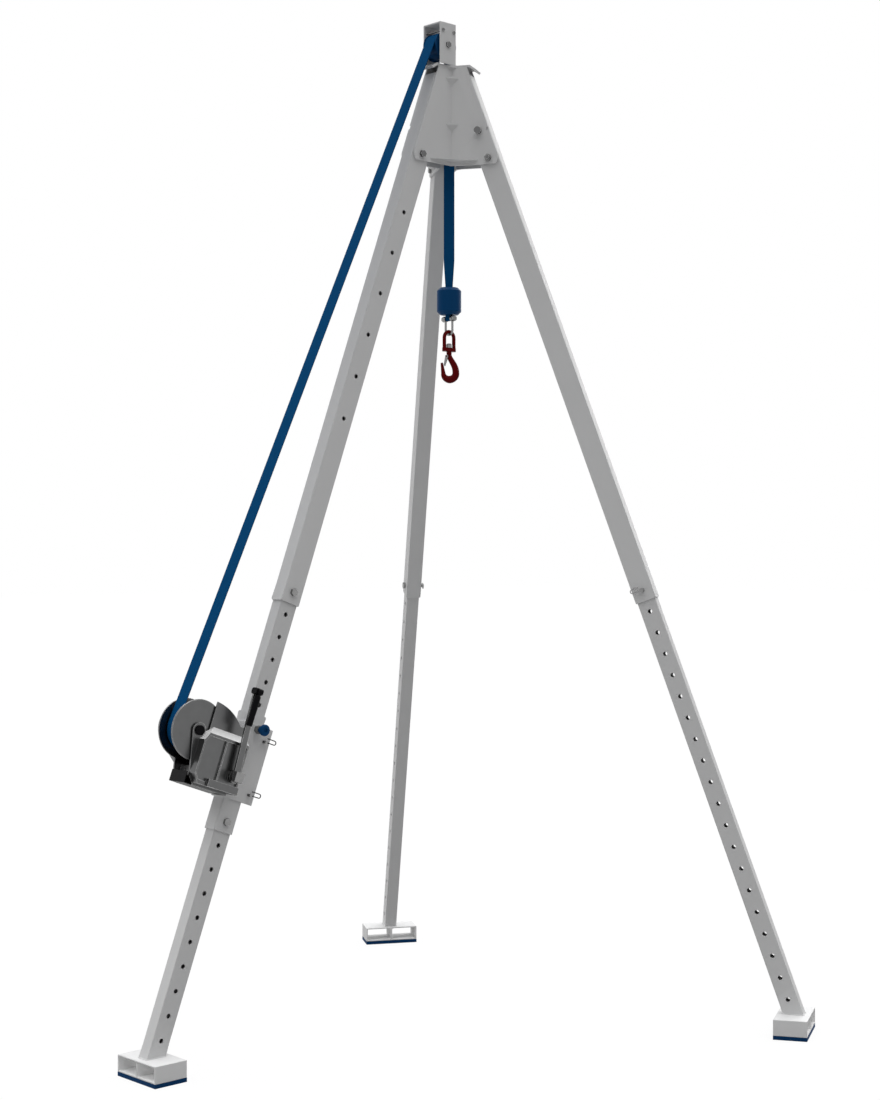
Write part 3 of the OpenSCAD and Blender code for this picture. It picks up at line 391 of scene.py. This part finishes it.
def finish(name, color, edge_wear_and_highlight_color, roughness, metallic=0.0, clouds=6.0, depth=0.10, spread=0.12, grain=400.0,
           relief=0.05, edge=1.2, gloss=0.5):
    """Painted or metal finish: clouded colour, fine grain and edges in patches turned to a second colour,
    which is bare wear on most finishes and a painted highlight on the winch plates, the red paint and the
    blue mouldings.
    """
    material, tree, shader = new_material(name)
    shader.inputs["Metallic"].default_value = metallic
    shader.inputs["Specular IOR Level"].default_value = gloss
    clouded = add_group(tree, MOTTLE, Color=(*color, 1), Clouds=clouds, Depth=depth, Roughness=roughness,
                        Spread=spread, Grain=grain)
    edges = add_group(tree, EDGE_WEAR_AND_HIGHLIGHT, Amount=edge)
    # Second colour on the edges: bare wear on most finishes, a painted highlight on the winch plates, the red
    # paint and the blue mouldings.
    plain, wear_and_highlight_socket, mixed = mix_colors(tree, edges.outputs["Mask"])
    tree.links.new(clouded.outputs["Color"], plain)
    wear_and_highlight_socket.default_value = (*edge_wear_and_highlight_color, 1)
    tree.links.new(mixed, shader.inputs["Base Color"])
    tree.links.new(clouded.outputs["Roughness"], shader.inputs["Roughness"])
    add_relief(tree, shader, clouded.outputs["Height"], relief, 0.001)
    return material


def webbing(name, light, dark):
    """Woven strap finish: dull, with the weave's relief and its colour, which carries painted shade in the
    weave's troughs.
    """
    material, tree, shader = new_material(name)
    shader.inputs["Roughness"].default_value = 0.8
    shader.inputs["Specular IOR Level"].default_value = 0.03
    cloth = add_group(tree, WEAVE, Light=(*light, 1), Dark=(*dark, 1))
    tree.links.new(cloth.outputs["Color"], shader.inputs["Base Color"])
    add_relief(tree, shader, cloth.outputs["Height"], 0.5, 0.0006)
    return material


FINISH = {
    "painted_aluminium": finish(
        "powder_coat", (0.66, 0.662, 0.665), (0.78, 0.78, 0.79), 0.45, depth=0.05, gloss=0.12),
    "inner_aluminium": finish(
        "anodised_tube", (0.63, 0.632, 0.635), (0.75, 0.75, 0.76), 0.45, depth=0.06, gloss=0.12),
    "galvanised_steel": finish(
        "zinc_plate", (0.24, 0.24, 0.24), (0.50, 0.50, 0.50), 0.26, metallic=1.0, clouds=40.0, depth=0.5,
        grain=900.0),
    # Near-white edges over most of their length: a painted highlight on the winch plates.
    "winch_steel": finish(
        "winch_plate", (0.125, 0.126, 0.127), (0.85, 0.85, 0.85), 0.30, metallic=1.0, clouds=25.0, depth=0.25,
        edge=5.0),
    "dark_steel": finish(
        "oiled_steel", (0.006, 0.006, 0.007), (0.06, 0.06, 0.06), 0.40, clouds=30.0, depth=0.4, gloss=0.08),
    "black_plastic": finish(
        "black_moulding", (0.003, 0.003, 0.004), (0.02, 0.02, 0.02), 0.42, grain=1500.0, relief=0.15,
        gloss=0.05),
    # Edges a brighter blue: a painted highlight on the blue mouldings.
    "blue_plastic": finish(
        "blue_moulding", (0.0025, 0.048, 0.145), (0.02, 0.11, 0.28), 0.42, grain=900.0, relief=0.08,
        gloss=0.06),
    # Edges a brighter red: a painted highlight on the red paint.
    "red_forged_steel": finish(
        "red_paint", (0.11, 0.001, 0.002), (0.20, 0.03, 0.02), 0.34, clouds=60.0, depth=0.3, gloss=0.05),
    "sole_rubber": finish(
        "navy_rubber", (0.004, 0.040, 0.125), (0.02, 0.06, 0.15), 0.6, grain=1200.0, relief=0.3, gloss=0.05),
    "foot_paint": finish(
        "foot_coat", (0.74, 0.742, 0.745), (0.82, 0.82, 0.83), 0.5, depth=0.04, gloss=0.12),
    # Near-white coat of painted light for the inside of the foot cells.
    "cell_painted_light": finish(
        "cell_painted_light_coat", (0.95, 0.95, 0.95), (0.95, 0.95, 0.95), 0.6, depth=0.02, gloss=0.12),
    # Near-white steel: a painted highlight on the gear case's roof.
    "roof_painted_highlight": finish(
        "roof_highlight_plate", (0.90, 0.90, 0.90), (0.92, 0.92, 0.92), 0.35, metallic=0.3, depth=0.05),
    "blue_webbing": webbing("strap_webbing", (0.002, 0.076, 0.22), (0.001, 0.040, 0.115)),
}

# Nodes that wear another finish than their slot's
BARE_STEEL = ("hinge_bolts", "hinge_nuts", "pulley_axle", "strap_guards",
              "leg_lock_a", "leg_lock_b", "leg_lock_c")
OTHER_FINISH = dict.fromkeys(BARE_STEEL, "winch_steel")
OTHER_FINISH["winch_clips"] = "dark_steel"
# Black on the drum axle is painted shade: it stands for the dark open core of the drum at its hub.
OTHER_FINISH["drum_axle"] = "black_plastic"


def wear(piece, slot):
    """Gives a piece the finish of a material slot."""
    piece.data.materials.clear()
    piece.data.materials.append(FINISH[slot])


def second_coat(piece, slot, chosen):
    """Another finish on the chosen faces of a piece."""
    piece.data.materials.append(FINISH[slot])
    piece.data.polygons.foreach_set("material_index", chosen.astype(np.int32))


def new_piece(piece, slot, body=None, replaced=()):
    """Finish, slot, body and the solids that a new piece stands for."""
    wear(piece, slot)
    if replaced:
        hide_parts(*replaced)
    if body:
        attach(piece, body)
    return piece


for name, piece in NODES.items():
    wear(piece, OTHER_FINISH.get(name, SLOT_OF[name]))


# Rounded edges
def long_edges(edit, shortest):
    """Outer edges of a solid that are sharp and longer than given."""
    sharp = math.radians(50)
    return [edge for edge in edit.edges if edge.is_manifold and edge.is_convex
            and edge.calc_length() > shortest and edge.calc_face_angle() > sharp]


def round_off(edit, edges, radius, segments=3):
    """Rounds edges of a solid to a radius."""
    bmesh.ops.bevel(edit, geom=edges, offset=radius, offset_type="OFFSET", segments=segments, profile=0.5,
                    affect="EDGES", clamp_overlap=True, loop_slide=False)


def round_fork(edit):
    """Fork at the end of the crank arm: free ends of its ears made round, then the ears' outer corners."""
    flat = 0.01
    shortest = 0.003
    parallel = 0.99
    through_ears = Vector((0, math.cos(LEAN), -math.sin(LEAN)))
    bmesh.ops.dissolve_limit(edit, angle_limit=flat, verts=edit.verts, edges=edit.edges)
    for along, radius in ((through_ears, EAR_R), (Vector(X_AXIS), EAR_CORNER_R)):
        corners = [edge for edge in long_edges(edit, shortest)
                   if min(v.co.z for v in edge.verts) > FORK_FOOT
                   and abs((edge.verts[1].co - edge.verts[0].co).normalized().dot(along)) > parallel]
        round_off(edit, corners, radius, segments=5)


def soften(name, radius, shortest, shape=None):
    """Merged copy of a solid in its place, shaped further where asked, with edges over a length rounded."""
    edit = bmesh.new()
    edit.from_mesh(NODES[name].data)
    bmesh.ops.remove_doubles(edit, verts=edit.verts, dist=MERGE)
    if shape:
        shape(edit)
    round_off(edit, long_edges(edit, shortest), radius)
    mesh = bpy.data.meshes.new(name + "_rounded")
    edit.to_mesh(mesh)
    edit.free()
    piece = place(name + "_rounded", mesh, sharp=10)
    return new_piece(piece, SLOT_OF[name], BODY_OF[name], [name])


def paint_light_in_cells(foot, k):
    """Painted light on the walls of a foot's two open cells, which only light from their ends reaches: a
    whiter coat there stands in for more light.
    """
    inset = 0.003
    facing = 0.5
    turn = LEG_TURN * k
    centre = of_faces(foot, "center")
    across = np.abs(centre @ [math.cos(turn), math.sin(turn), 0])
    above = centre[:, 2] - FOOT_TOP + FOOT_H
    inside = (across < FOOT_W / 2 - inset) & (above > inset) & (above < FOOT_H - inset)
    at_end = np.abs(of_faces(foot, "normal") @ [math.sin(turn), -math.cos(turn), 0]) > facing
    second_coat(foot, "cell_painted_light", inside & ~at_end)


def paint_roof_highlight(case):
    """Painted highlight on the faces of the gear case that look up: a near-white steel finish that stands for
    the light on its roof.
    """
    steep = 0.6
    second_coat(case, "roof_painted_highlight", of_faces(case, "normal")[:, 2] > steep)


def black_tip(arm):
    """Black coating on the forked end of the crank arm, where the grip folds."""
    second_coat(arm, "black_plastic", of_faces(arm, "center")[:, 2] > FORK_BLACK)


def soft_edges():
    """Rounds the edges that catch the light, and gives some faces a second coat: painted light in the foot
    cells, a painted highlight on the gear case's roof and black on the crank arm's fork.
    """
    for k, letter in enumerate(LEGS):
        soften(f"outer_tube_{letter}", radius=0.005, shortest=0.3)
        soften(f"inner_tube_{letter}", radius=0.004, shortest=0.3)
        foot = soften(f"foot_{letter}", radius=0.0015, shortest=0.05)
        wear(foot, "foot_paint")
        paint_light_in_cells(foot, k)
    soften("winch_sleeve", radius=0.005, shortest=0.3)
    soften("console", radius=0.002, shortest=0.05)
    soften("pulley_bracket", radius=0.003, shortest=0.05)
    soften("top_plate", radius=0.002, shortest=0.02)
    soften("cheek_plates", radius=0.0015, shortest=0.1)
    paint_roof_highlight(soften("gear_case", radius=0.0015, shortest=0.015))
    soften("winch_frame", radius=0.001, shortest=0.05)
    soften("gear_cover", radius=0.0015, shortest=0.004)
    black_tip(soften("crank_arm", radius=0.0015, shortest=0.1, shape=round_fork))


# Strap
def strap_run():
    """Outer tangent of pulley and wound strap: both centres, its two ends and its outward normal."""
    pulley = np.array([-PULLEY_R, PULLEY_Z])
    drum = leg_point(0, DRUM_S, DRUM_N)[1:]
    span = drum - pulley
    e = span / np.linalg.norm(span)
    side = np.array([e[1], -e[0]])
    lean_in = (PULLEY_R - ROLL_R) / np.linalg.norm(span)
    out = side * math.sqrt(1 - lean_in ** 2) + e * lean_in
    return pulley, drum, pulley + PULLEY_R * out, drum + ROLL_R * out, out


PULLEY_YZ, DRUM_YZ, RUN_TOP, RUN_END, RUN_OUT = strap_run()
SEAM = (RUN_TOP + RUN_END) / 2
RUN_ANGLE = math.atan2(RUN_OUT[1], RUN_OUT[0])


def web(strap, path, body=None, half_w=STRAP_W / 2, **section):
    """Webbing along a path in the plane X = 0, in place of a strap's plain solid."""
    points, uv = sweep(path, half_w, **section)
    return new_piece(skin(strap + "_web", points, uv), "blue_webbing", body, [strap])


def upper_strap():
    """Half turn over the pulley and run to the seam."""
    a = np.linspace(0, RUN_ANGLE, ARC_STEPS)
    arc = PULLEY_YZ + PULLEY_R * np.column_stack([np.cos(a), np.sin(a)])
    piece = web("strap_upper", yz(np.concatenate([arc, line(RUN_TOP, SEAM, RUN_STEPS)])))
    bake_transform(piece)


def lower_strap():
    """Straight run from the seam to the wound strap."""
    piece = web("strap_lower", yz(np.concatenate([SEAM[None], line(SEAM, RUN_END, RUN_STEPS)])))
    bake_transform(piece)


def dropped_strap():
    """Hanging strap, drawn in over its last length to the stop."""
    z = np.linspace(PULLEY_Z, STOP_TOP, DROP_STEPS)
    draw = np.clip((z - STOP_TOP) / NECK_LENGTH, 0, 1)
    half = (NECK_W + (STRAP_W - NECK_W) * draw) / 2
    piece = web("strap_drop", np.column_stack([np.zeros((len(z), 2)), z]), half_w=half)
    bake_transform(piece)


def wound_strap():
    """Spiral of the strap on the drum, from its outer turn in to the core."""
    a = RUN_ANGLE + np.linspace(0, 2 * np.pi * ROLL_TURNS, ROLL_TURNS * TURN_STEPS)
    r = ROLL_R - ROLL_PITCH * (a - RUN_ANGLE) / (2 * np.pi)
    path = yz(DRUM_YZ + r[:, None] * np.column_stack([np.cos(a), np.sin(a)]))
    web("strap_roll", path, "drum", sides=16, rib=0.0)


def strap_loop():
    """End loop of the strap: down one side, round the shackle pin and up the other."""
    gap = 0.0003
    below = 0.0002
    r = SHACKLE_PIN_R + gap + STRAP_T / 2
    a = np.linspace(np.pi, 2 * np.pi, LOOP_STEPS)
    bend = np.column_stack([r * np.cos(a), SHACKLE_PIN_Z + r * np.sin(a)])
    top = STOP_BOTTOM - below
    path = yz(np.concatenate([[[-r, top]], bend, [[r, top]]]))
    web("strap_eye", path, "hook_block", half_w=EYE_W / 2, sides=16, rib=0.0)


# Weld beads
def bead(name, corners, radius):
    """Round bead along a closed path through corners, its radius rippled by a sine as a weld's is."""
    step = 0.0015
    ripple_pitch = 0.005
    ripple_share = 0.12
    off_path = [0.13, 0.21, 0.97]
    path = np.array(corners + corners[:1])
    run = run_length(path)
    t = np.linspace(0, run[-1], int(run[-1] / step))
    fine = np.column_stack([np.interp(t, run, path[:, i]) for i in range(3)])
    d = unit(np.gradient(fine, axis=0))
    aside = unit(np.cross(d, off_path))
    over = np.cross(d, aside)
    a = ring(8)[:, None]
    r = radius * (1 + ripple_share * np.sin(2 * np.pi * t / ripple_pitch))
    section = np.cos(a) * aside[:, None] + np.sin(a) * over[:, None]
    return skin(name, fine[:, None] + r[:, None, None] * section, sharp=80)


def foot_welds():
    """Bead round each inner tube where it stands on its foot."""
    lift = 0.0005
    for k, letter in enumerate(LEGS):
        corners = []
        for x, y in ((-1, -1), (1, -1), (1, 1), (-1, 1)):
            out = y * INNER_D / 2
            along = (FOOT_TOP + lift - out * math.sin(LEAN)) / math.cos(LEAN)
            corners.append(leg_point(k, along, out, x * INNER_W / 2))
        new_piece(bead(f"foot_weld_{letter}", corners, BEAD_R), "painted_aluminium", f"foot_leg_{letter}")


soft_edges()
upper_strap()
lower_strap()
dropped_strap()
wound_strap()
strap_loop()
foot_welds()


# Stage, light and camera
def seen_rays(tree):
    """One for rays that show a picture: from the camera, mirrored by metal or passed through glass."""
    path = node(tree, "LightPath")
    mirrored = math_node(tree, "MAXIMUM", path.outputs["Is Camera Ray"], path.outputs["Is Glossy Ray"])
    return math_node(tree, "MAXIMUM", mirrored, path.outputs["Is Transmission Ray"])


def pale_floor():
    """Wide floor that shows white with a faint shadow and throws little light up."""
    size = 60.0
    grey = 0.32
    glow_share = 0.8
    mesh = bpy.data.meshes.new("floor")
    corners = [(-size, -size, 0), (size, -size, 0), (size, size, 0), (-size, size, 0)]
    mesh.from_pydata(corners, [], [(0, 1, 2, 3)])
    floor = show("floor", mesh)
    material, tree, shader = new_material("floor_white")
    shader.inputs["Roughness"].default_value = 0.9
    shader.inputs["Specular IOR Level"].default_value = 0.0
    shader.inputs["Base Color"].default_value = (grey, grey, grey, 1)
    glow = node(tree, "Emission", Color=WHITE, Strength=1.16)
    share = math_node(tree, "MULTIPLY", seen_rays(tree), glow_share)
    mix = node(tree, "MixShader")
    tree.links.new(share, mix.inputs[0])
    tree.links.new(shader.outputs[0], mix.inputs[1])
    tree.links.new(glow.outputs[0], mix.inputs[2])
    tree.links.new(mix.outputs[0], tree.nodes["Material Output"].inputs["Surface"])
    mesh.materials.append(material)


def white_world(level, zenith):
    """World that shows white; its light on the object grows from the horizon's level to the zenith's."""
    steepness = 3.0
    world = bpy.data.worlds.new("studio")
    bpy.context.scene.world = world
    world.use_nodes = True
    tree = world.node_tree
    back = tree.nodes["Background"]
    back.inputs["Color"].default_value = WHITE
    where = node(tree, "TexCoord")
    split = node(tree, "SeparateXYZ")
    tree.links.new(where.outputs["Generated"], split.inputs[0])
    above = math_node(tree, "MAXIMUM", split.outputs[2], 0.0)
    steep = math_node(tree, "POWER", above, steepness)
    sky = math_node(tree, "ADD", math_node(tree, "MULTIPLY", steep, zenith - level), level)
    tree.links.new(math_node(tree, "MAXIMUM", sky, seen_rays(tree)), back.inputs["Strength"])


def soft_lamp(name, place_at, aim, size, power, shine=True):
    """Square area lamp aimed at a point, with or without its own image in shiny surfaces."""
    lamp = bpy.data.lights.new(name, "AREA")
    lamp.size = size
    lamp.energy = power
    piece = show(name, lamp)
    piece.visible_glossy = shine
    piece.location = place_at
    direction = np.array(aim) - np.array(place_at)
    flat = math.hypot(direction[0], direction[1])
    piece.rotation_euler = (math.atan2(flat, -direction[2]), 0, math.atan2(-direction[0], direction[1]))


def photo_camera():
    """Level camera at the photograph's viewpoint; its focal length is in pixels of an 880 by 1100 frame."""
    focal_px = 1878.96
    frame_h = 1100
    frame_w = 880
    centre_x = 554.95
    sensor = 36.0
    lens = bpy.data.cameras.new("photo_camera")
    lens.sensor_width = sensor
    lens.lens = focal_px / frame_h * sensor
    lens.shift_x = (frame_w / 2 - centre_x) / frame_h
    lens.clip_end = 200
    camera = show("photo_camera", lens)
    camera.location = (5.3635, -4.7829, 1.7567)
    camera.rotation_euler = (math.radians(90), 0, math.radians(45.05))
    bpy.context.scene.camera = camera


pale_floor()
white_world(level=0.06, zenith=2.9)
soft_lamp("back_lamp", place_at=(-2.6, 9.0, 5.4), aim=(0, 0, 1.5), size=6.0, power=220.0)
soft_lamp("left_lamp", place_at=(-5.0, -7.0, 0.8), aim=(0, -1.0, 0.2), size=2.0, power=70.0, shine=False)
soft_lamp("right_lamp", place_at=(8.0, 3.8, 1.6), aim=(0, 0, 1.2), size=4.0, power=25.0, shine=False)
soft_lamp("front_lamp", place_at=(0.5, -10.0, 0.9), aim=(0, 0, 0.6), size=3.0, power=40.0, shine=False)
photo_camera()
bpy.context.scene.view_settings.view_transform = "Standard"
